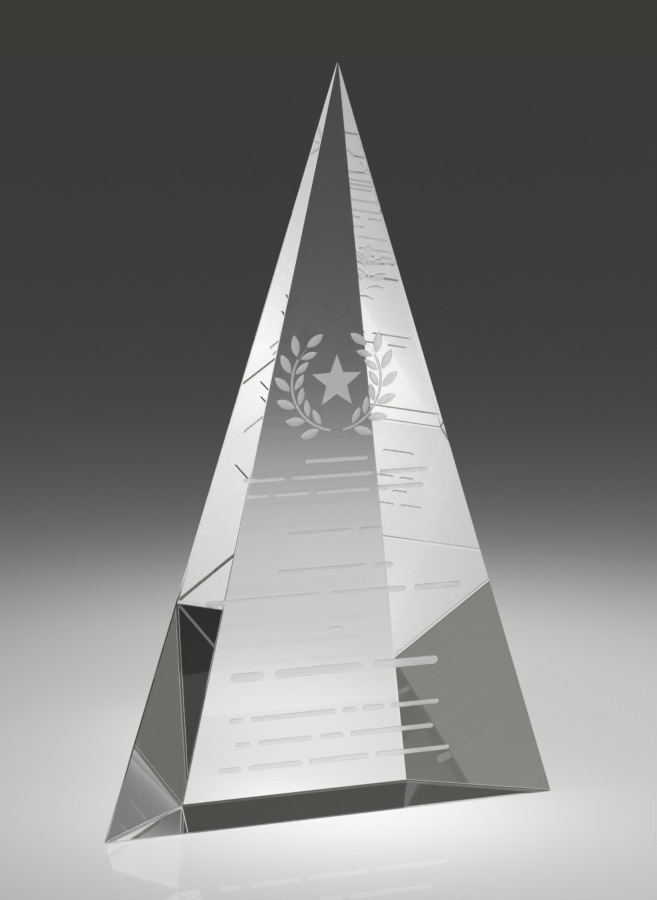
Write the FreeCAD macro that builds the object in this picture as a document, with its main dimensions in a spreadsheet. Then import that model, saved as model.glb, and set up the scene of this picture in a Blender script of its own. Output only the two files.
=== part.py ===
import FreeCAD, Part
import math
import os
import Sketcher

# A crystal award: one block of optical crystal, ground to a tall slim pyramid with a trapezoid
# plan and an upright front face. A star between laurel sprays and eleven rows of plain bars are
# sand-carved into that face. Millimetres. The origin is under the middle of the block, on the
# surface that it stands on: +X to the right, +Y to the back, +Z up.

# Name, value and meaning of each driving dimension.
SIZES = [
    ("height", 254.0, "standing surface to the blunted point"),
    ("point_drop", 1.1, "how far the point stops below the meeting of the facets"),
    ("front_width", 167.4, "foot of the front facet, before its corners are eased"),
    ("back_width", 85.0, "foot of the back facet, before its corners are eased"),
    ("base_depth", 55.2, "front facet to back facet at the foot"),
    ("foot_arris", 0.7, "flat ground round the foot"),
    ("front_arris", 0.8, "leg of the two front arrises at the foot"),
    ("back_arris", 0.5, "leg of the two back arrises at the foot"),
    ("front_arris_top", 0.2, "leg of the front arrises at the point"),
    ("back_arris_top", 0.08, "leg of the back arrises at the point"),
    ("carve_depth", 0.35, "depth of the sand carving"),
    ("frost_skin", 0.15, "frosted layer on the floor of the carving"),
    ("blast_reach", 1.0, "how far a carving tool stands out of the front facet"),
    ("emblem_rise", 26.0, "first row of bars up to the middle of the emblem"),
    ("star_radius", 9.4, "middle of the star to its tips"),
    ("star_waist", 4.0, "middle of the star to its inner corners"),
    ("wreath_gap", 6.8, "star tips to the middle of the laurel stems"),
    ("stem_stroke", 0.8, "width of a laurel stem"),
    ("stem_first", -82.0, "angle where a stem starts, from the horizontal"),
    ("stem_last", 46.0, "angle where a stem ends, from the horizontal"),
    ("leaf_gap", 0.45, "clear glass between a stem and its leaves"),
    ("outer_leaf_length", 7.2, "stalk to tip of a leaf on the outside of a stem"),
    ("outer_leaf_breadth", 3.0, "widest part of a leaf on the outside"),
    ("inner_leaf_length", 6.2, "stalk to tip of a leaf on the inside of a stem"),
    ("inner_leaf_breadth", 2.3, "widest part of a leaf on the inside"),
    ("leaf_splay", 40.0, "angle between a leaf and its stem"),
    ("crown_splay", 8.0, "angle between the leaf at a stem's end and the stem"),
    ("leaf_first", -68.0, "angle of the lowest pair of leaves"),
    ("leaf_span", 100.0, "angle from the lowest pair of leaves to the highest"),
    ("leaf_pairs", 6, "pairs of leaves on one stem"),
]

# The rows of bars from the lowest up: rise above the row below or the foot, width, bar height, and
# the shares of the width that the bars take.
ROWS = [
    (20.2, 85.6, 1.7, (3, 7, 8, 10)),
    (8.2, 73.4, 1.7, (2, 7, 3, 11)),
    (8.4, 77.4, 1.7, (2, 12, 2, 3, 7)),
    (14.6, 76.4, 3.0, (3, 8, 6)),
    (13.7, 5.2, 1.7, (2,)),
    (12.0, 94.0, 1.9, (12, 8, 5)),
    (8.6, 42.2, 1.9, (10, 2)),
    (12.5, 34.6, 1.9, (8, 3)),
    (14.1, 64.4, 1.5, (3, 5, 8, 7)),
    (5.3, 67.0, 1.5, (6, 12, 7)),
    (5.3, 23.0, 1.5, (8,)),
]
BAR_SPACE = 1
STAR_TIPS = 5

APEX = "(Sheet.height + Sheet.point_drop)"
TIP_SCALE = f"(Sheet.point_drop / {APEX})"
SIDE_RUN = "((Sheet.front_width - Sheet.back_width) / 2)"
SIDE_TURN = f"atan({SIDE_RUN} / Sheet.base_depth)"
STEM_RADIUS = "(Sheet.star_radius + Sheet.wreath_gap)"

DOC = FreeCAD.newDocument("crystal_award")


def row_name(row):
    """The rows count from the top of the award, the way they are read."""
    return f"row_{len(ROWS) - row:02d}"


def fill_sheet():
    """One line for each driving dimension: its name, its value under an alias, its meaning."""
    sheet = DOC.addObject("Spreadsheet::Sheet", "Sheet")
    entries = list(SIZES)
    for row, (rise, width, stroke, _) in enumerate(ROWS):
        entries.append((f"{row_name(row)}_rise", rise, "middle of the bars above the row below"))
        entries.append((f"{row_name(row)}_width", width, "first bar to the last bar"))
        entries.append((f"{row_name(row)}_stroke", stroke, "height of the bars"))
    for line, (name, value, meaning) in enumerate(entries, start=1):
        sheet.set(f"A{line}", name)
        sheet.set(f"B{line}", str(value))
        sheet.set(f"C{line}", meaning)
        sheet.setAlias(f"B{line}", name)
    DOC.recompute()


def origin_plane(body, role):
    return next(item for item in body.Origin.OriginFeatures if item.Role == role)


def new_sketch(body, name, role, offset):
    """A sketch on one of the body's own planes, moved by the three expressions in offset."""
    sketch = body.newObject("Sketcher::SketchObject", name)
    sketch.AttachmentSupport = (origin_plane(body, role), [""])
    sketch.MapMode = "FlatFace"
    for axis, expression in zip("xyz", offset):
        sketch.setExpression(f"AttachmentOffset.Base.{axis}", expression)
    return sketch


def value_of(sketch, expression):
    return float(sketch.evalExpression(expression))


def bind(sketch, constraint, expression):
    """Adds a constraint that takes its size from the sheet."""
    index = sketch.addConstraint(constraint)
    sketch.setExpression(f"Constraints[{index}]", expression)


def pin_point(sketch, curve, end, across, up):
    """Holds one end of a curve at a place given by two expressions."""
    place = (-1, 1, curve, end)
    bind(sketch, Sketcher.Constraint("DistanceX", *place, value_of(sketch, across)), across)
    bind(sketch, Sketcher.Constraint("DistanceY", *place, value_of(sketch, up)), up)


def draw_outline(sketch, corners):
    """A closed outline of straight lines through corners given as pairs of expressions."""
    points = [FreeCAD.Vector(value_of(sketch, x), value_of(sketch, y), 0) for x, y in corners]
    for start, end in zip(points, points[1:] + points[:1]):
        sketch.addGeometry(Part.LineSegment(start, end), False)
    for line, (across, up) in enumerate(corners):
        before = (line - 1) % len(corners)
        sketch.addConstraint(Sketcher.Constraint("Coincident", before, 2, line, 1))
        pin_point(sketch, line, 1, across, up)


def face_towards(shape, direction):
    """The name of the face whose outward normal lies nearest to a direction."""
    towards = FreeCAD.Vector(*direction).normalize()
    turn = [face.normalAt(0, 0).dot(towards) for face in shape.Faces]
    return f"Face{turn.index(max(turn)) + 1}"


def lean_facets(body, base, name, directions, angle):
    """Leans upright facets inwards about the foot, as they are ground on the wheel."""
    facets = [face_towards(base.Shape, direction) for direction in directions]
    draft = body.newObject("PartDesign::Draft", name)
    draft.Base = (base, facets)
    draft.NeutralPlane = (base, [face_towards(base.Shape, (0, 0, -1))])
    draft.setExpression("Angle", angle)
    DOC.recompute()
    return draft


def upright_block(body, name, corners):
    sketch = new_sketch(body, f"{name}_plan", "XY_Plane", ("0", "0", "0"))
    draw_outline(sketch, corners)
    pad = body.newObject("PartDesign::Pad", name)
    pad.Profile = sketch
    pad.setExpression("Length", "Sheet.height")
    DOC.recompute()
    return pad


def make_facets():
    """The pyramid with sharp edges and an eased foot."""
    body = DOC.addObject("PartDesign::Body", "facets")
    front = "-Sheet.base_depth / 2"
    back = "Sheet.base_depth / 2"
    block = upright_block(body, "block", [
        ("-Sheet.front_width / 2", front),
        ("Sheet.front_width / 2", front),
        ("Sheet.back_width / 2", back),
        ("-Sheet.back_width / 2", back),
    ])
    turn = math.radians(value_of(block, SIDE_TURN))
    sides = [(math.cos(turn), math.sin(turn), 0), (-math.cos(turn), math.sin(turn), 0)]
    leaned = lean_facets(body, block, "back_facet", [(0, 1, 0)], f"atan(Sheet.base_depth / {APEX})")
    side_lean = f"atan(Sheet.front_width / 2 * cos({SIDE_TURN}) / {APEX})"
    leaned = lean_facets(body, leaned, "side_facets", sides, side_lean)
    foot = body.newObject("PartDesign::Chamfer", "eased_foot")
    foot.Base = (leaned, [face_towards(leaned.Shape, (0, 0, -1))])
    foot.setExpression("Size", "Sheet.foot_arris")
    return body


def make_arrises():
    """A four-sided block whose sides cut the narrow arrises off the pyramid's slanting edges."""
    body = DOC.addObject("PartDesign::Body", "arrises")
    front_turn = f"(45 deg - {SIDE_TURN} / 2)"
    back_turn = f"(45 deg + {SIDE_TURN} / 2)"
    front_leg = "(Sheet.front_width / 2 - Sheet.front_arris)"
    back_leg = "(Sheet.back_width / 2 - Sheet.back_arris)"
    # Distances of the cutting sides from the front facet's middle at the foot, then their slopes.
    front_reach = f"({front_leg} * cos({front_turn}))"
    back_reach = f"({back_leg} * cos({back_turn}) + Sheet.base_depth * sin({back_turn}))"
    spread = f"sin({back_turn} + {front_turn})"
    corner_x = f"({front_reach} * sin({back_turn}) + {back_reach} * sin({front_turn})) / {spread}"
    corner_y = f"({back_reach} * cos({front_turn}) - {front_reach} * cos({back_turn})) / {spread}"
    block = upright_block(body, "corner_block", [
        ("0", f"-{front_reach} / sin({front_turn}) - Sheet.base_depth / 2"),
        (corner_x, f"{corner_y} - Sheet.base_depth / 2"),
        ("0", f"{back_reach} / sin({back_turn}) - Sheet.base_depth / 2"),
        (f"-({corner_x})", f"{corner_y} - Sheet.base_depth / 2"),
    ])
    front_top = f"((Sheet.front_width / 2 * {TIP_SCALE} - Sheet.front_arris_top) * cos({front_turn}))"
    back_top = (
        f"((Sheet.back_width / 2 * {TIP_SCALE} - Sheet.back_arris_top) * cos({back_turn})"
        f" + Sheet.base_depth * {TIP_SCALE} * sin({back_turn}))"
    )
    turn = math.radians(value_of(block, front_turn))
    fronts = [(math.cos(turn), -math.sin(turn), 0), (-math.cos(turn), -math.sin(turn), 0)]
    turn = math.radians(value_of(block, back_turn))
    backs = [(math.cos(turn), math.sin(turn), 0), (-math.cos(turn), math.sin(turn), 0)]
    front_lean = f"atan(({front_reach} - {front_top}) / Sheet.height)"
    back_lean = f"atan(({back_reach} - {back_top}) / Sheet.height)"
    leaned = lean_facets(body, block, "front_arrises", fronts, front_lean)
    lean_facets(body, leaned, "back_arrises", backs, back_lean)
    return body


def row_height(row):
    return " + ".join(f"Sheet.{row_name(below)}_rise" for below in range(row + 1))


EMBLEM_HEIGHT = f"({row_height(len(ROWS) - 1)} + Sheet.emblem_rise)"


def carve_pad(body, sketch, name, tool):
    """A carving tool cuts in from clear of the face; a frosted skin covers the carving's floor."""
    pad = body.newObject("PartDesign::Pad", name)
    pad.Profile = sketch
    depth = "Sheet.carve_depth + Sheet.blast_reach" if tool else "Sheet.frost_skin"
    pad.setExpression("Length", depth)
    DOC.recompute()
    return pad


def face_sketch(body, name, height):
    """A sketch on the carving's floor, its origin on the face's middle line at a height."""
    return new_sketch(body, name, "XZ_Plane", ("0", height, "Sheet.base_depth / 2 - Sheet.carve_depth"))


def draw_star(body, tool):
    sketch = face_sketch(body, "star_outline", EMBLEM_HEIGHT)
    corners = []
    for corner in range(2 * STAR_TIPS):
        radius = "Sheet.star_waist" if corner % 2 else "Sheet.star_radius"
        angle = 90 + corner * 180 / STAR_TIPS
        corners.append((f"{radius} * cos({angle})", f"{radius} * sin({angle})"))
    draw_outline(sketch, corners)
    carve_pad(body, sketch, "star", tool)


def draw_stem(sketch, side):
    """A curved band between two arcs about the sketch's origin, its ends cut straight."""
    names = ("first", "last") if side > 0 else ("last", "first")
    angles = [f"Sheet.stem_{name}" for name in names]
    turns = [value_of(sketch, angle) for angle in angles]
    if side < 0:
        turns = [180 - turn for turn in turns]
    ends = [math.radians(turn) for turn in turns]
    radii = [f"({STEM_RADIUS} {sign} Sheet.stem_stroke / 2)" for sign in "+-"]
    for radius in radii:
        size = value_of(sketch, radius)
        circle = Part.Circle(FreeCAD.Vector(0, 0, 0), FreeCAD.Vector(0, 0, 1), size)
        arc = sketch.addGeometry(Part.ArcOfCircle(circle, *ends), False)
        sketch.addConstraint(Sketcher.Constraint("Coincident", arc, 3, -1, 1))
        bind(sketch, Sketcher.Constraint("Radius", arc, size), radius)
    for end, angle in enumerate(angles, start=1):
        for arc, radius in enumerate(radii):
            up = f"{radius} * sin({angle})"
            rule = Sketcher.Constraint("DistanceY", -1, 1, arc, end, value_of(sketch, up))
            bind(sketch, rule, up)
        points = [sketch.getPoint(arc, end) for arc in (0, 1)]
        line = sketch.addGeometry(Part.LineSegment(*points), False)
        sketch.addConstraint(Sketcher.Constraint("Coincident", 0, end, line, 1))
        sketch.addConstraint(Sketcher.Constraint("Coincident", 1, end, line, 2))


def draw_leaf(sketch, kind, side, stalk_radius, angle, heading):
    """A pointed leaf: two equal arcs from its stalk to its tip."""
    length = f"Sheet.{kind}_leaf_length"
    breadth = f"Sheet.{kind}_leaf_breadth"
    stalk = (f"{side} * {stalk_radius} * cos({angle})", f"{stalk_radius} * sin({angle})")
    tip = (
        f"{stalk[0]} + {side} * {length} * cos({heading})",
        f"{stalk[1]} + {length} * sin({heading})",
    )
    start = FreeCAD.Vector(value_of(sketch, stalk[0]), value_of(sketch, stalk[1]), 0)
    end = FreeCAD.Vector(value_of(sketch, tip[0]), value_of(sketch, tip[1]), 0)
    bulge = FreeCAD.Vector(start.y - end.y, end.x - start.x, 0).normalize()
    bulge *= value_of(sketch, f"{breadth} / 2")
    middle = (start + end) / 2
    radius = f"({length} ^ 2 + {breadth} ^ 2) / (4 * {breadth})"
    back = sketch.addGeometry(Part.Arc(end, middle + bulge, start), False)
    out = sketch.addGeometry(Part.Arc(start, middle - bulge, end), False)
    for curve in (back, out):
        bind(sketch, Sketcher.Constraint("Radius", curve, value_of(sketch, radius)), radius)
    sketch.addConstraint(Sketcher.Constraint("Coincident", back, 2, out, 1))
    sketch.addConstraint(Sketcher.Constraint("Coincident", back, 1, out, 2))
    pin_point(sketch, out, 1, *stalk)
    pin_point(sketch, out, 2, *tip)


def leaf_row(body, kind, tool, side):
    """Leaves along one edge of a stem: the lowest is drawn, the rest turn about the star."""
    sign = "+" if kind == "outer" else "-"
    stalk_radius = f"({STEM_RADIUS} {sign} (Sheet.stem_stroke / 2 + Sheet.leaf_gap))"
    lean = "-" if kind == "outer" else "+"
    heading = f"(Sheet.leaf_first + 90 {lean} Sheet.leaf_splay)"
    sketch = face_sketch(body, f"{kind}_leaf_outline", EMBLEM_HEIGHT)
    draw_leaf(sketch, kind, side, stalk_radius, "Sheet.leaf_first", heading)
    pad = carve_pad(body, sketch, f"{kind}_leaf", tool)
    pattern = body.newObject("PartDesign::PolarPattern", f"{kind}_leaves")
    pattern.Originals = [pad]
    pattern.Axis = (sketch, ["N_Axis"])
    pattern.Reversed = side < 0
    pattern.setExpression("Angle", "Sheet.leaf_span")
    pattern.setExpression("Occurrences", "Sheet.leaf_pairs")
    body.Tip = pattern
    DOC.recompute()


def draw_laurel(body, tool, side):
    """A stem with a leaf at its end, and pairs of leaves along it."""
    sketch = face_sketch(body, "stem_outline", EMBLEM_HEIGHT)
    draw_stem(sketch, side)
    crown = f"(Sheet.stem_last + 180 / pi * Sheet.leaf_gap / {STEM_RADIUS})"
    heading = f"({crown} + 90 + Sheet.crown_splay)"
    draw_leaf(sketch, "outer", side, STEM_RADIUS, crown, heading)
    carve_pad(body, sketch, "stem", tool)
    leaf_row(body, "outer", tool, side)
    leaf_row(body, "inner", tool, side)


def draw_bar(sketch, left, right, stroke):
    """A bar with round ends, from left to right about the sketch's X axis."""
    half = f"({stroke} / 2)"
    radius = value_of(sketch, half)
    centres = (f"{left} + {half}", f"{right} - {half}")
    start, end = [FreeCAD.Vector(value_of(sketch, centre), 0, 0) for centre in centres]
    up = FreeCAD.Vector(0, radius, 0)
    over = FreeCAD.Vector(radius, 0, 0)
    top = sketch.addGeometry(Part.LineSegment(end + up, start + up), False)
    left_end = sketch.addGeometry(Part.Arc(start + up, start - over, start - up), False)
    bottom = sketch.addGeometry(Part.LineSegment(start - up, end - up), False)
    right_end = sketch.addGeometry(Part.Arc(end - up, end + over, end + up), False)
    sketch.addConstraint(Sketcher.Constraint("Tangent", top, 2, left_end, 1))
    sketch.addConstraint(Sketcher.Constraint("Tangent", left_end, 2, bottom, 1))
    sketch.addConstraint(Sketcher.Constraint("Tangent", bottom, 2, right_end, 1))
    sketch.addConstraint(Sketcher.Constraint("Tangent", right_end, 2, top, 1))
    for arc, centre in ((left_end, centres[0]), (right_end, centres[1])):
        bind(sketch, Sketcher.Constraint("Radius", arc, radius), half)
        pin_point(sketch, arc, 3, centre, "0")


def draw_row(body, tool, row):
    """The bars of one row share its width by their lengths, with equal spaces between."""
    name = row_name(row)
    sketch = face_sketch(body, f"{name}_outline", row_height(row))
    lengths = ROWS[row][3]
    total = sum(lengths) + BAR_SPACE * (len(lengths) - 1)
    done = 0
    for length in lengths:
        left = f"Sheet.{name}_width * ({done} / {total} - 0.5)"
        right = f"Sheet.{name}_width * ({done + length} / {total} - 0.5)"
        draw_bar(sketch, left, right, f"Sheet.{name}_stroke")
        done += length + BAR_SPACE
    carve_pad(body, sketch, name, tool)


def make_carvings():
    """Each carved figure twice: as the tool that cuts it and as the frosted skin on its floor."""
    figures = [
        ("star", draw_star, ()),
        ("laurel_left", draw_laurel, (-1,)),
        ("laurel_right", draw_laurel, (1,)),
    ]
    for row in range(len(ROWS)):
        figures.append((row_name(row), draw_row, (row,)))
    tools = []
    skins = []
    for name, draw, extra in figures:
        tools.append(DOC.addObject("PartDesign::Body", f"blast_{name}"))
        draw(tools[-1], True, *extra)
        skins.append(DOC.addObject("PartDesign::Body", f"etched_{name}"))
        draw(skins[-1], False, *extra)
    return tools, skins


def make_crystal(tools):
    """The pyramid, less its arrises, less the carving."""
    ground = DOC.addObject("Part::Common", "ground_block")
    ground.Base = make_facets()
    ground.Tool = make_arrises()
    blast = DOC.addObject("Part::Compound", "blast")
    blast.Links = tools
    crystal = DOC.addObject("Part::Cut", "crystal_body")
    crystal.Base = ground
    crystal.Tool = blast
    return crystal


def check_and_write(nodes):
    """Nothing is written unless every object recomputed and every sub-part is sound."""
    for item in DOC.Objects:
        if "Invalid" in item.State or "Error" in item.State:
            raise RuntimeError(f"{item.Label} did not recompute: {item.State}")
    for node in nodes:
        if node.Shape.isNull() or not node.Shape.isValid() or not node.Shape.Solids:
            raise RuntimeError(f"{node.Label} has no sound shape")
    os.makedirs("parts", exist_ok=True)
    for node in nodes:
        node.Shape.exportStep(f"parts/{node.Label}.step")
        print(node.Label, len(node.Shape.Solids), "solids", round(node.Shape.Volume, 2), "mm3")


fill_sheet()
blast_tools, frosted_skins = make_carvings()
crystal_body = make_crystal(blast_tools)
DOC.recompute()
check_and_write([crystal_body] + frosted_skins)
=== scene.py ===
import math

import bmesh
import bpy
from mathutils import Matrix, Vector


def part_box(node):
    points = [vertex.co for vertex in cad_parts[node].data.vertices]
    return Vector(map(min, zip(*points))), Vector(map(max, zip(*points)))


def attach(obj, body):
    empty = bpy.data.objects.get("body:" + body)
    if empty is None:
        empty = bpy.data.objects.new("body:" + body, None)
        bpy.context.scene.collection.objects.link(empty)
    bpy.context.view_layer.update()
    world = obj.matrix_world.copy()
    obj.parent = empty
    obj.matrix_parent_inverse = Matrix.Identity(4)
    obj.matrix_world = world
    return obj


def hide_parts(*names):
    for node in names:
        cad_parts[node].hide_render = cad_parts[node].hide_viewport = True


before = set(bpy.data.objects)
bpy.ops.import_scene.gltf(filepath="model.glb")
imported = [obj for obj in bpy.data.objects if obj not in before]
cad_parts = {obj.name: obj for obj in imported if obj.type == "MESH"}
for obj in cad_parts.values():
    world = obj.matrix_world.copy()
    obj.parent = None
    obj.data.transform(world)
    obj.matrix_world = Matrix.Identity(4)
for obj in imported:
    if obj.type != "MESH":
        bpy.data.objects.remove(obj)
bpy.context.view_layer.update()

# --- The crystal: one block of clear optical glass, cast, sawn and polished to flat facets
# that meet at the point. Its narrow arrises are ground last. The carving is blasted into
# the front face, so the walls and floor of each recess are rough, and nothing else is.
MM = 0.001
CRYSTAL_INDEX = 1.517
FACETS = 5
CARVE_DEPTH = 0.35 * MM
# Half the breadth that the carving keeps to at the foot, and how fast it narrows upwards.
CARVE_SPREAD, CARVE_TAPER = 80 * MM, 0.33
FACE_SLACK, FLOOR_SLACK = 0.01 * MM, 0.05 * MM
SAND_SCALE, SAND_DETAIL = 6000.0, 3.0
FLOOR_FROST, FLOOR_GRAIN = 0.04, 0.06
WALL_FROST = 0.25
WALL_LEAN = 0.35
ARRIS_FLATNESS = 1.0
LAPPING_SCALE, LAPPING_DETAIL = 30.0, 1.0
LAPPING_WAVE = 0.006 * MM
front_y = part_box("crystal_body")[0].y
floor_y = front_y + CARVE_DEPTH


def new_material(name):
    """A material with its nodes, its Principled shader and its output ready to wire."""
    material = bpy.data.materials.new(name)
    material.use_nodes = True
    tree = material.node_tree
    return material, tree, tree.nodes["Principled BSDF"]


def add_node(tree, kind, **settings):
    node = tree.nodes.new(kind)
    for setting, value in settings.items():
        setattr(node, setting, value)
    return node


def reckon(tree, operation, *values):
    """A Math node: each value is a number or another node's output."""
    node = add_node(tree, "ShaderNodeMath", operation=operation)
    for socket, value in zip(node.inputs, values):
        if isinstance(value, (int, float)):
            socket.default_value = value
        else:
            tree.links.new(value, socket)
    return node.outputs["Value"]


def object_axes(tree):
    """Object coordinates, whole and as X, Y and Z."""
    place = add_node(tree, "ShaderNodeTexCoord").outputs["Object"]
    parts = add_node(tree, "ShaderNodeSeparateXYZ")
    tree.links.new(place, parts.inputs["Vector"])
    return place, parts.outputs["X"], parts.outputs["Y"], parts.outputs["Z"]


def speckle(tree, place, scale, detail):
    """Noise on a place, with grains of about 1 / scale metres."""
    noise = add_node(tree, "ShaderNodeTexNoise")
    noise.inputs["Scale"].default_value = scale
    noise.inputs["Detail"].default_value = detail
    tree.links.new(place, noise.inputs["Vector"])
    return noise.outputs["Fac"]


def roughen(tree, shader, height, distance):
    """Bump on a shader: distance is in metres from the lowest height to the highest."""
    bump = add_node(tree, "ShaderNodeBump")
    bump.inputs["Strength"].default_value = 1.0
    bump.inputs["Distance"].default_value = distance
    tree.links.new(height, bump.inputs["Height"])
    tree.links.new(bump.outputs["Normal"], shader.inputs["Normal"])


crystal_look, tree, glass = new_material("polished_crystal")
glass.distribution = "MULTI_GGX"
glass.inputs["Base Color"].default_value = (1.0, 1.0, 1.0, 1.0)
glass.inputs["IOR"].default_value = CRYSTAL_INDEX
glass.inputs["Transmission Weight"].default_value = 1.0
place, across, through, up = object_axes(tree)
# Blasted: behind the face plane, no deeper than the recess floors, clear of the arrises.
behind_face = reckon(tree, "GREATER_THAN", through, front_y + FACE_SLACK)
before_floor = reckon(tree, "LESS_THAN", through, floor_y + FLOOR_SLACK)
half_breadth = reckon(tree, "MULTIPLY_ADD", up, CARVE_TAPER, reckon(tree, "ABSOLUTE", across))
inside_arris = reckon(tree, "LESS_THAN", half_breadth, CARVE_SPREAD)
blasted = reckon(tree, "MULTIPLY", behind_face, before_floor)
blasted = reckon(tree, "MULTIPLY", blasted, inside_arris)
grain = speckle(tree, place, SAND_SCALE, SAND_DETAIL)
on_wall = reckon(tree, "LESS_THAN", through, floor_y - FLOOR_SLACK)
frosting = reckon(tree, "MULTIPLY_ADD", grain, FLOOR_GRAIN, FLOOR_FROST)
frosting = reckon(tree, "MULTIPLY_ADD", on_wall, WALL_FROST, frosting)
tree.links.new(reckon(tree, "MULTIPLY", blasted, frosting), glass.inputs["Roughness"])
# Lapping leaves the polished facets very slightly wavy.
wave = speckle(tree, place, LAPPING_SCALE, LAPPING_DETAIL)
roughen(tree, glass, wave, LAPPING_WAVE)

bpy.ops.object.select_all(action="DESELECT")
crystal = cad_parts["crystal_body"].copy()
crystal.data = crystal.data.copy()
crystal.name = crystal.data.name = "polished_block"
bpy.context.collection.objects.link(crystal)
crystal.select_set(True)
bpy.context.view_layer.objects.active = crystal
bpy.ops.object.mode_set(mode="EDIT")
bpy.ops.mesh.select_all(action="SELECT")
bpy.ops.mesh.remove_doubles(threshold=0.001 * MM)
bpy.ops.object.mode_set(mode="OBJECT")
bpy.ops.object.shade_smooth()
block = crystal.data
# The four facets and the foot hold the largest faces.
facets = []
for face in sorted(block.polygons, key=lambda face: -face.area):
    if len(facets) < FACETS and all(face.normal.dot(facet) < 0.999 for facet in facets):
        facets.append(face.normal.copy())


def facet_of(face):
    """The facet that a face lies on or is level with, or None on an arris or a wall."""
    level = [facet for facet in facets if face.normal.dot(facet) > 0.99999]
    return level[0] if level else None


def is_carved(face):
    """Whether a face is a wall of the carving."""
    middle = face.center
    blasted_deep = front_y + FACE_SLACK < middle.y < floor_y + FLOOR_SLACK
    return blasted_deep and abs(middle.x) + CARVE_TAPER * middle.z < CARVE_SPREAD


beside = {}
for face in block.polygons:
    facet = facet_of(face)
    if facet:
        for corner in face.vertices:
            beside.setdefault(corner, {})[facets.index(facet)] = facet
# Facets shade flat. An arris shades halfway to round, as grinding leaves it, and a wall
# of the carving leans towards the face, as the sand leaves its edges soft.
normals = []
for face in block.polygons:
    facet = facet_of(face)
    softened = (face.normal * WALL_LEAN + Vector((0, -1, 0))).normalized()
    for corner in face.vertices:
        rounded = sum(beside.get(corner, {}).values(), Vector())
        if facet or not rounded.length:
            normals.append(face.normal)
        elif is_carved(face):
            normals.append(softened)
        else:
            normals.append((rounded.normalized() + face.normal * ARRIS_FLATNESS).normalized())
block.normals_split_custom_set(normals)
crystal.data.materials.clear()
crystal.data.materials.append(crystal_look)
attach(crystal, "root")
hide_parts("crystal_body")

# --- The star over the lettering's place: blasted deepest along its outline, so a low
# five-pointed star with a ridge to each tip stands in the recess. Its skin is frosted.
RECESS_GAP = 0.03 * MM
STAR_TIPS = 5
STAR_RADIUS = 9.4 * MM
STAR_WAIST = 4.0 * MM
STAR_RISE = 0.18 * MM
SKIN = 0.1 * MM
FROST_SCALE, FROST_DETAIL = 5000.0, 4.0
DRIFT_SCALE, DRIFT_DETAIL = 90.0, 2.0
FROST_ROUGHNESS, FROST_GRAIN, FROST_DRIFT = 0.2, 0.2, 0.1
FROST_PITS = 0.02 * MM
RIDGE_ANGLE = math.radians(30)

frost_look, tree, frost = new_material("frosted_crystal")
frost.distribution = "MULTI_GGX"
frost.inputs["Base Color"].default_value = (0.98, 0.98, 0.98, 1.0)
frost.inputs["IOR"].default_value = 1.45
frost.inputs["Transmission Weight"].default_value = 0.7
place = object_axes(tree)[0]
grain = speckle(tree, place, FROST_SCALE, FROST_DETAIL)
drift = speckle(tree, place, DRIFT_SCALE, DRIFT_DETAIL)
frosting = reckon(tree, "MULTIPLY_ADD", grain, FROST_GRAIN, FROST_ROUGHNESS)
frosting = reckon(tree, "MULTIPLY_ADD", drift, FROST_DRIFT, frosting)
tree.links.new(frosting, frost.inputs["Roughness"])
roughen(tree, frost, grain, FROST_PITS)


def start(add, name, **sizes):
    """Adds one primitive with nothing else selected, and opens it for editing."""
    bpy.ops.object.select_all(action="DESELECT")
    add(**sizes)
    piece = bpy.context.object
    piece.name = piece.data.name = name
    bpy.ops.object.mode_set(mode="EDIT")
    return piece


def pick(piece, kind, rule):
    """Selects only the verts, edges or faces whose middle and normal pass the rule."""
    bpy.context.tool_settings.mesh_select_mode = [kind == k for k in ("verts", "edges", "faces")]
    shape = bmesh.from_edit_mesh(piece.data)
    for item in [*shape.verts, *shape.edges, *shape.faces]:
        item.select = False
    for item in getattr(shape, kind):
        if kind == "verts":
            item.select_set(rule(item.co, item.normal))
        elif kind == "edges":
            item.select_set(rule((item.verts[0].co + item.verts[1].co) / 2, None))
        else:
            item.select_set(rule(item.calc_center_median(), item.normal))
    shape.select_flush_mode()
    bmesh.update_edit_mesh(piece.data)


def close_back():
    """Closes the piece being edited with a flat copy of its drawn face, at its base."""
    bpy.ops.mesh.select_all(action="SELECT")
    bpy.ops.mesh.extrude_region_move()
    bpy.ops.transform.resize(value=(1, 1, 0), center_override=(0, 0, 0))
    bpy.ops.mesh.select_all(action="SELECT")
    bpy.ops.mesh.normals_make_consistent(inside=False)


def stand_up(piece, x, z):
    """Turns a piece drawn flat on the bench to face the front, its base in the recess."""
    bpy.ops.object.mode_set(mode="OBJECT")
    base = floor_y - RECESS_GAP
    turn = Matrix.Rotation(math.pi / 2, 4, "X")
    piece.matrix_world = Matrix.Translation((x, base, z)) @ turn @ piece.matrix_world
    bpy.ops.object.transform_apply(location=True, rotation=True, scale=True)


def frosted(piece, node):
    """A finished frosted piece: smooth but for its ridges, standing for its CAD node."""
    bpy.ops.object.select_all(action="DESELECT")
    piece.select_set(True)
    bpy.context.view_layer.objects.active = piece
    bpy.ops.object.shade_smooth_by_angle(angle=RIDGE_ANGLE)
    piece.data.materials.clear()
    piece.data.materials.append(frost_look)
    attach(piece, "root")
    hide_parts(node)


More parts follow.
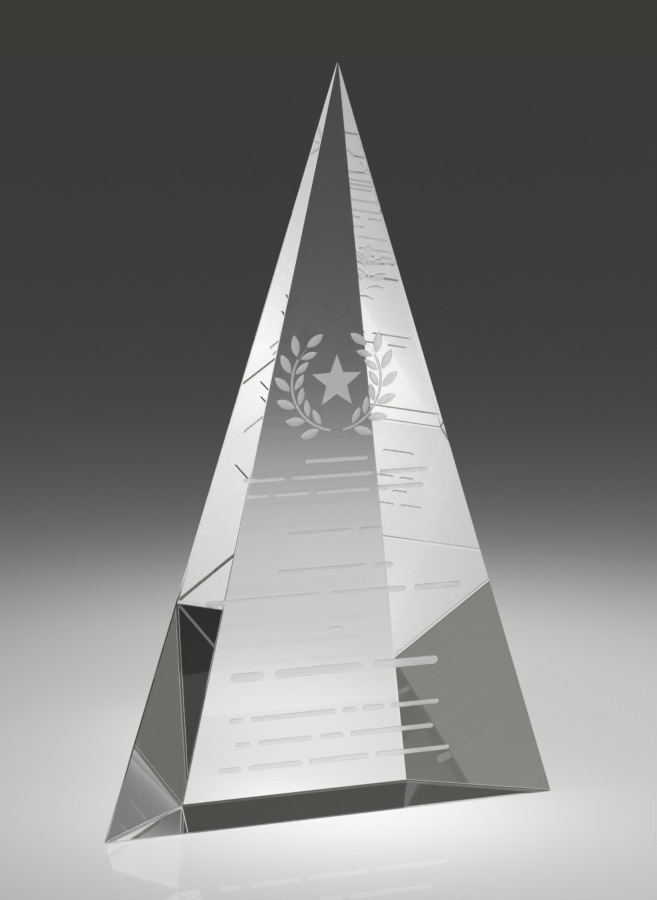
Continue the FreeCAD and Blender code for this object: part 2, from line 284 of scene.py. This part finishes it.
star_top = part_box("etched_star")[1].z
star = start(bpy.ops.mesh.primitive_circle_add, "carved_star", vertices=2 * STAR_TIPS,
             radius=STAR_RADIUS - 2 * RECESS_GAP, fill_type="TRIFAN")
half_tip = math.pi / STAR_TIPS
pick(star, "verts", lambda co, n: round(math.atan2(co.x, co.y) / half_tip) % 2 and co.length > MM)
waist_share = (STAR_WAIST - RECESS_GAP) / (STAR_RADIUS - 2 * RECESS_GAP)
bpy.ops.transform.resize(value=(waist_share, waist_share, 1), center_override=(0, 0, 0))
bpy.ops.mesh.select_all(action="SELECT")
bpy.ops.transform.translate(value=(0, 0, SKIN))
pick(star, "verts", lambda co, n: co.xy.length < MM)
bpy.ops.transform.translate(value=(0, 0, STAR_RISE))
close_back()
stand_up(star, 0, star_top - STAR_RADIUS)
frosted(star, "etched_star")

# --- The laurel sprays round the star: a curved stem with pairs of leaves and one at its
# end. Each leaf is blasted to a shallow keel along its midrib. Both sprays are frosted.
STEM_RADIUS = 16.2 * MM
STEM_STROKE = 0.8 * MM
STEM_FIRST, STEM_LAST = math.radians(-82), math.radians(46)
LEAF_FIRST, LEAF_SPAN = math.radians(-68), math.radians(100)
LEAF_PAIRS = 6
LEAF_GAP = 0.45 * MM
LEAF_SPLAY, CROWN_SPLAY = math.radians(40), math.radians(8)
OUTER_LEAF = (7.2 * MM, 3.0 * MM)
INNER_LEAF = (6.2 * MM, 2.3 * MM)
LEAF_KEEL = 0.18 * MM
LEAF_STATIONS = 14


def half_at(along, length, breadth, radius):
    """Half a leaf's breadth, less the gap, at a distance along it."""
    from_middle = along - length / 2
    inside = max(radius ** 2 - from_middle ** 2, 0)
    return max(math.sqrt(inside) - (radius - breadth / 2) - RECESS_GAP, 0.01 * MM)


def cut_leaf(name, length, breadth):
    """A leaf lying along +X from its stalk at zero, drawn on a grid of cross-lines."""
    leaf = start(bpy.ops.mesh.primitive_grid_add, name, x_subdivisions=LEAF_STATIONS,
                 y_subdivisions=4, size=1)
    bpy.ops.transform.translate(value=(0.5, 0, 0))
    radius = (length ** 2 + breadth ** 2) / (4 * breadth)
    for station in range(LEAF_STATIONS + 1):
        share = station / LEAF_STATIONS
        half = half_at(share * length, length, breadth, radius)
        pick(leaf, "verts", lambda co, n: abs(co.x - share) < 0.2 / LEAF_STATIONS)
        bpy.ops.transform.resize(value=(1, 2 * half, 1), center_override=(share, 0, 0))
    bpy.ops.mesh.select_all(action="SELECT")
    bpy.ops.transform.resize(value=(length, 1, 1), center_override=(0, 0, 0))
    bpy.ops.transform.translate(value=(0, 0, SKIN))
    for row, rise in ((0.0, LEAF_KEEL), (0.25, 0.7 * LEAF_KEEL)):
        def on_rib(co, n):
            half = half_at(co.x, length, breadth, radius)
            return abs(abs(co.y) - 2 * row * half) < 0.2 * half and half > 0.3 * MM
        pick(leaf, "verts", on_rib)
        bpy.ops.transform.translate(value=(0, 0, rise))
    close_back()
    bpy.ops.object.mode_set(mode="OBJECT")
    return leaf


def set_leaf(pattern, name, stalk_radius, angle, heading):
    """A copy of a leaf with its own mesh, its stalk on the ring and turned to its heading."""
    leaf = pattern.copy()
    leaf.data = pattern.data.copy()
    leaf.name = leaf.data.name = name
    bpy.context.collection.objects.link(leaf)
    stalk = Vector((stalk_radius * math.cos(angle), stalk_radius * math.sin(angle), 0))
    leaf.matrix_world = Matrix.Translation(stalk) @ Matrix.Rotation(heading, 4, "Z")
    return leaf


outer_leaf = cut_leaf("outer_leaf", *OUTER_LEAF)
inner_leaf = cut_leaf("inner_leaf", *INNER_LEAF)

stem = start(bpy.ops.mesh.primitive_plane_add, "carved_laurel_right", size=1)
bpy.ops.transform.resize(value=(STEM_STROKE - 2 * RECESS_GAP, SKIN, 1))
bpy.ops.transform.rotate(value=math.pi / 2, orient_axis="X", center_override=(0, 0, 0))
bpy.ops.transform.translate(value=(STEM_RADIUS, 0, SKIN / 2))
pick(stem, "verts", lambda co, n: co.z > SKIN / 2)
bpy.ops.mesh.bevel(offset=0.06 * MM, segments=2, affect="VERTICES")
bpy.ops.mesh.select_all(action="SELECT")
bpy.ops.transform.rotate(value=-STEM_FIRST, orient_axis="Z", center_override=(0, 0, 0))
bpy.ops.mesh.spin(steps=48, angle=STEM_LAST - STEM_FIRST, center=(0, 0, 0), axis=(0, 0, 1))
bpy.ops.mesh.select_all(action="SELECT")
bpy.ops.mesh.remove_doubles(threshold=0.001 * MM)
bpy.ops.mesh.normals_make_consistent(inside=False)
bpy.ops.object.mode_set(mode="OBJECT")

leaves = []
crown = STEM_LAST + LEAF_GAP / STEM_RADIUS
leaves.append(set_leaf(outer_leaf, "crown_leaf", STEM_RADIUS, crown,
                       crown + math.pi / 2 + CROWN_SPLAY))
for pattern, side in ((outer_leaf, 1), (inner_leaf, -1)):
    stalk_radius = STEM_RADIUS + side * (STEM_STROKE / 2 + LEAF_GAP)
    for pair in range(LEAF_PAIRS):
        angle = LEAF_FIRST + pair * LEAF_SPAN / (LEAF_PAIRS - 1)
        heading = angle + math.pi / 2 - side * LEAF_SPLAY
        leaves.append(set_leaf(pattern, f"leaf_{pair}", stalk_radius, angle, heading))
for pattern in (outer_leaf, inner_leaf):
    bpy.data.objects.remove(pattern)
bpy.ops.object.select_all(action="DESELECT")
for piece in (stem, *leaves):
    piece.select_set(True)
bpy.context.view_layer.objects.active = stem
bpy.ops.object.join()

left_spray = stem.copy()
left_spray.data = stem.data.copy()
left_spray.name = left_spray.data.name = "carved_laurel_left"
bpy.context.collection.objects.link(left_spray)
for spray, side in ((stem, 1), (left_spray, -1)):
    bpy.ops.object.select_all(action="DESELECT")
    spray.select_set(True)
    bpy.context.view_layer.objects.active = spray
    spray.matrix_world = Matrix.Diagonal((side, 1, 1, 1))
    stand_up(spray, 0, star_top - STAR_RADIUS)
    bpy.ops.object.mode_set(mode="EDIT")
    bpy.ops.mesh.select_all(action="SELECT")
    bpy.ops.mesh.normals_make_consistent(inside=False)
    bpy.ops.object.mode_set(mode="OBJECT")
    frosted(spray, "etched_laurel_right" if side > 0 else "etched_laurel_left")

# --- The rows of bars, where an award carries its lettering: each bar has round ends and
# a floor dished by the blast, and the bars of a row share its width by their lengths.
BAR_SPACE = 1
BAR_SHARES = {
    "etched_row_01": (8,),
    "etched_row_02": (6, 12, 7),
    "etched_row_03": (3, 5, 8, 7),
    "etched_row_04": (8, 3),
    "etched_row_05": (10, 2),
    "etched_row_06": (12, 8, 5),
    "etched_row_07": (2,),
    "etched_row_08": (3, 8, 6),
    "etched_row_09": (2, 12, 2, 3, 7),
    "etched_row_10": (2, 7, 3, 11),
    "etched_row_11": (3, 7, 8, 10),
}

pattern_bar = start(bpy.ops.mesh.primitive_plane_add, "pattern_bar", size=1)
bpy.ops.transform.resize(value=(2, 1, 1))
bpy.ops.transform.translate(value=(0, 0, SKIN))
bpy.ops.mesh.bevel(offset=0.4999, segments=9, affect="VERTICES")
bpy.ops.mesh.select_all(action="SELECT")
bpy.ops.mesh.remove_doubles(threshold=0.001)
bpy.ops.mesh.inset(thickness=0.18, depth=0)
bpy.ops.transform.translate(value=(0, 0, 0.25 * SKIN))
bpy.ops.mesh.inset(thickness=0.12, depth=0)
bpy.ops.transform.translate(value=(0, 0, -0.55 * SKIN))
close_back()
bpy.ops.object.mode_set(mode="OBJECT")

for node, shares in BAR_SHARES.items():
    low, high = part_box(node)
    width, stroke = high.x - low.x, high.z - low.z
    total = sum(shares) + BAR_SPACE * (len(shares) - 1)
    bars = []
    done = 0
    for share in shares:
        left = low.x + width * done / total
        right = low.x + width * (done + share) / total
        done += share + BAR_SPACE
        bar = pattern_bar.copy()
        bar.data = pattern_bar.data.copy()
        bar.name = bar.data.name = "bar"
        bpy.context.collection.objects.link(bar)
        bpy.ops.object.select_all(action="DESELECT")
        bar.select_set(True)
        bpy.context.view_layer.objects.active = bar
        bpy.ops.object.mode_set(mode="EDIT")
        bpy.ops.mesh.select_all(action="SELECT")
        slim = stroke - 2 * RECESS_GAP
        bpy.ops.transform.resize(value=(slim, slim, 1), center_override=(0, 0, 0))
        stretch = (right - left - 2 * stroke) / 2
        for end in (1, -1):
            pick(bar, "verts", lambda co, n: co.x * end > 0)
            bpy.ops.transform.translate(value=(end * stretch, 0, 0))
        bpy.ops.object.mode_set(mode="OBJECT")
        bar.location.x = (left + right) / 2
        bars.append(bar)
    bpy.ops.object.select_all(action="DESELECT")
    for bar in bars:
        bar.select_set(True)
    bpy.context.view_layer.objects.active = bars[0]
    if len(bars) > 1:
        bpy.ops.object.join()
    bpy.ops.object.transform_apply(location=True, rotation=True, scale=True)
    row = bars[0]
    row.name = row.data.name = node.replace("etched", "carved")
    stand_up(row, 0, (low.z + high.z) / 2)
    frosted(row, node)
bpy.data.objects.remove(pattern_bar)

# --- The table: a broad sheet glowing with painted light, a painted pool brightest where the award stands and
# falling away to grey, with softer painted patches of light close by. It has a slight gloss.
TABLE_RADIUS = 14.0
TABLE_GLOSS = 0.17
# The painted pool of light: its centre to the right of the award, its radius and how fast it
# falls away.
POOL_X = 85 * MM
POOL_RADIUS = 338 * MM
POOL_FALL = 3.3
POOL_LIGHT, FAR_LIGHT, FRONT_LIGHT = 0.604, 0.042, 0.092
FAR_REACH = 2.5
# Each painted patch of light on the table: its middle, the radius of its patch and its strength.
PAINTED_GLOW_PATCHES = (
    (0, -20 * MM, 80 * MM, 0.36),
    (-12 * MM, 20 * MM, 26 * MM, 0.22),
    (30 * MM, 95 * MM, 60 * MM, 0.28),
    (140 * MM, 270 * MM, 140 * MM, 0.19),
)
# A painted patch of light on the table before the front facet.
PAINTED_FRONT_PATCH = (30 * MM, -30 * MM, 55 * MM, 0.10)

# The table's brightness is painted light in its emission, set by place on the table; its own
# colour is dark.
table_look, tree, sheet = new_material("painted_glow_table")
sheet.inputs["Base Color"].default_value = (0.05, 0.05, 0.05, 1.0)
sheet.inputs["Specular IOR Level"].default_value = 0.0
across, along = object_axes(tree)[1:3]


def patch(centre_x, centre_y, radius, light):
    """A soft round patch of painted light about a point of the table."""
    x_off = reckon(tree, "SUBTRACT", across, centre_x)
    y_off = reckon(tree, "SUBTRACT", along, centre_y)
    square = reckon(tree, "MULTIPLY_ADD", x_off, x_off, reckon(tree, "MULTIPLY", y_off, y_off))
    square = reckon(tree, "MULTIPLY", square, -1 / radius ** 2)
    return reckon(tree, "MULTIPLY", reckon(tree, "EXPONENT", square), light)


# The painted pool of light, falling away from its centre.
aside = reckon(tree, "MULTIPLY", reckon(tree, "SUBTRACT", across, POOL_X), 1 / POOL_RADIUS)
beyond = reckon(tree, "MULTIPLY", along, 1 / POOL_RADIUS)
square = reckon(tree, "MULTIPLY_ADD", aside, aside, reckon(tree, "MULTIPLY", beyond, beyond))
fall = reckon(tree, "ADD", reckon(tree, "POWER", square, POOL_FALL / 2), 1.0)
pool = reckon(tree, "DIVIDE", POOL_LIGHT, fall)
glow = reckon(tree, "ADD", pool, FAR_LIGHT)
# Painted patches of light added to the table's glow.
for lamp_or_painted_patch in PAINTED_GLOW_PATCHES:
    glow = reckon(tree, "ADD", glow, patch(*lamp_or_painted_patch))
# Painted light on the table before the front facet, where the facet would throw it.
front_paint = patch(*PAINTED_FRONT_PATCH)
front_paint = reckon(tree, "MULTIPLY", front_paint, reckon(tree, "LESS_THAN", along, front_y))
glow = reckon(tree, "ADD", glow, front_paint)
# Far off, the table glows with painted light as bright as the room behind it, so that no edge
# shows.
reach = reckon(tree, "MULTIPLY_ADD", across, across, reckon(tree, "MULTIPLY", along, along))
ahead = reckon(tree, "DIVIDE", along, reckon(tree, "SQRT", reach))
in_front = reckon(tree, "MULTIPLY_ADD", ahead, -0.5, 0.5)
room = reckon(tree, "MULTIPLY", reckon(tree, "POWER", in_front, 2.0), FRONT_LIGHT)
far = reckon(tree, "SUBTRACT", 1.0, patch(0, 0, FAR_REACH, 1.0))
glow = reckon(tree, "ADD", glow, reckon(tree, "MULTIPLY", room, far))
# All of this glow is painted light, fed into the table's emission.
tree.links.new(glow, sheet.inputs["Emission Strength"])
sheet.inputs["Emission Color"].default_value = (1.0, 1.0, 0.98, 1.0)
sheen = add_node(tree, "ShaderNodeBsdfGlossy")
sheen.inputs["Roughness"].default_value = 0.01
finish = add_node(tree, "ShaderNodeMixShader")
finish.inputs["Fac"].default_value = TABLE_GLOSS
tree.links.new(sheet.outputs["BSDF"], finish.inputs[1])
tree.links.new(sheen.outputs["BSDF"], finish.inputs[2])
tree.links.new(finish.outputs["Shader"], tree.nodes["Material Output"].inputs["Surface"])

bpy.ops.object.select_all(action="DESELECT")
bpy.ops.mesh.primitive_circle_add(vertices=128, radius=TABLE_RADIUS, fill_type="TRIFAN",
                                  location=(0, 0, -0.1 * MM))
table = bpy.context.object
table.name = "painted_glow_table"
table.data.materials.append(table_look)

# --- The room: dim and even, a little lighter in front and on the left, with a large soft
# box high on the left, three pale cards behind the award and a lamp on the carving.
SIDE_LIGHT, LEAST_LIGHT = 0.09, 0.01
world = bpy.data.worlds.new("room")
bpy.context.scene.world = world
world.use_nodes = True
tree = world.node_tree
direction = add_node(tree, "ShaderNodeTexCoord").outputs["Generated"]
parts = add_node(tree, "ShaderNodeSeparateXYZ")
tree.links.new(direction, parts.inputs["Vector"])
in_front = reckon(tree, "MULTIPLY_ADD", parts.outputs["Y"], -0.5, 0.5)
room = reckon(tree, "MULTIPLY", reckon(tree, "POWER", in_front, 2.0), FRONT_LIGHT)
room = reckon(tree, "ADD", room, FAR_LIGHT)
height = reckon(tree, "MAXIMUM", parts.outputs["Z"], 0.0)
aside = reckon(tree, "MULTIPLY", parts.outputs["X"], height)
room = reckon(tree, "MULTIPLY_ADD", aside, -SIDE_LIGHT, room)
room = reckon(tree, "MAXIMUM", room, LEAST_LIGHT)
tree.links.new(room, tree.nodes["Background"].inputs["Strength"])
tree.nodes["Background"].inputs["Color"].default_value = (1.0, 1.0, 0.88, 1.0)

# Each soft box: its middle, the way it faces, its breadth and height in metres, its watts.
SOFT_BOXES = {
    "left_box": ((-1.1, -0.45, 1.0), (1.1, 0.45, -0.9), (0.9, 0.9), 0.27),
    "low_card": ((-0.085, 0.15, 0.059), (0, -1, 0), (0.17, 0.118), 0.015),
    "high_card": ((-0.085, 0.15, 0.178), (0, -1, 0), (0.17, 0.118), 0.0125),
    "right_card": ((0.37, 0.28, 0.1), (-0.37, -0.28, 0), (0.3, 0.2), 0.027),
    "carving_lamp": ((-0.7, -1.2, 0.9), (0.7, 1.2, -0.8), (1.0, 0.8), 26.0),
}
for name, (spot, facing, size, power) in SOFT_BOXES.items():
    lamp_or_painted_patch = bpy.data.lights.new(name, "AREA")
    lamp_or_painted_patch.shape = "RECTANGLE"
    lamp_or_painted_patch.size, lamp_or_painted_patch.size_y = size
    lamp_or_painted_patch.energy = power
    box = bpy.data.objects.new(name, lamp_or_painted_patch)
    bpy.context.collection.objects.link(box)
    box.location = spot
    box.rotation_euler = Vector(facing).to_track_quat("-Z", "Y").to_euler()
    box.visible_camera = False
    box.visible_glossy = name == "left_box"
    box.visible_transmission = name != "carving_lamp"

# --- The camera: a short telephoto view from the front left, looking slightly down.
CAMERA_PLACE = (-0.41188, -0.93325, 0.27575)
CAMERA_TURN, CAMERA_DROP, CAMERA_ROLL = -24.3, 8.56, 0.15
lens = bpy.data.cameras.new("camera")
lens.lens = 120.76
lens.sensor_width = 36.0
lens.clip_end = 1000.0
camera = bpy.data.objects.new("camera", lens)
bpy.context.collection.objects.link(camera)
yaw = Matrix.Rotation(math.radians(CAMERA_TURN), 4, "Z")
pitch = Matrix.Rotation(math.radians(90 - CAMERA_DROP), 4, "X")
roll = Matrix.Rotation(math.radians(CAMERA_ROLL), 4, "Z")
camera.matrix_world = Matrix.Translation(CAMERA_PLACE) @ yaw @ pitch @ roll
bpy.context.scene.camera = camera

scene = bpy.context.scene
scene.view_settings.view_transform = "Standard"
scene.cycles.max_bounces = 32
scene.cycles.transmission_bounces = 32
scene.cycles.glossy_bounces = 16
scene.cycles.diffuse_bounces = 3
scene.cycles.caustics_refractive = True
scene.cycles.caustics_reflective = True
scene.cycles.blur_glossy = 0.0
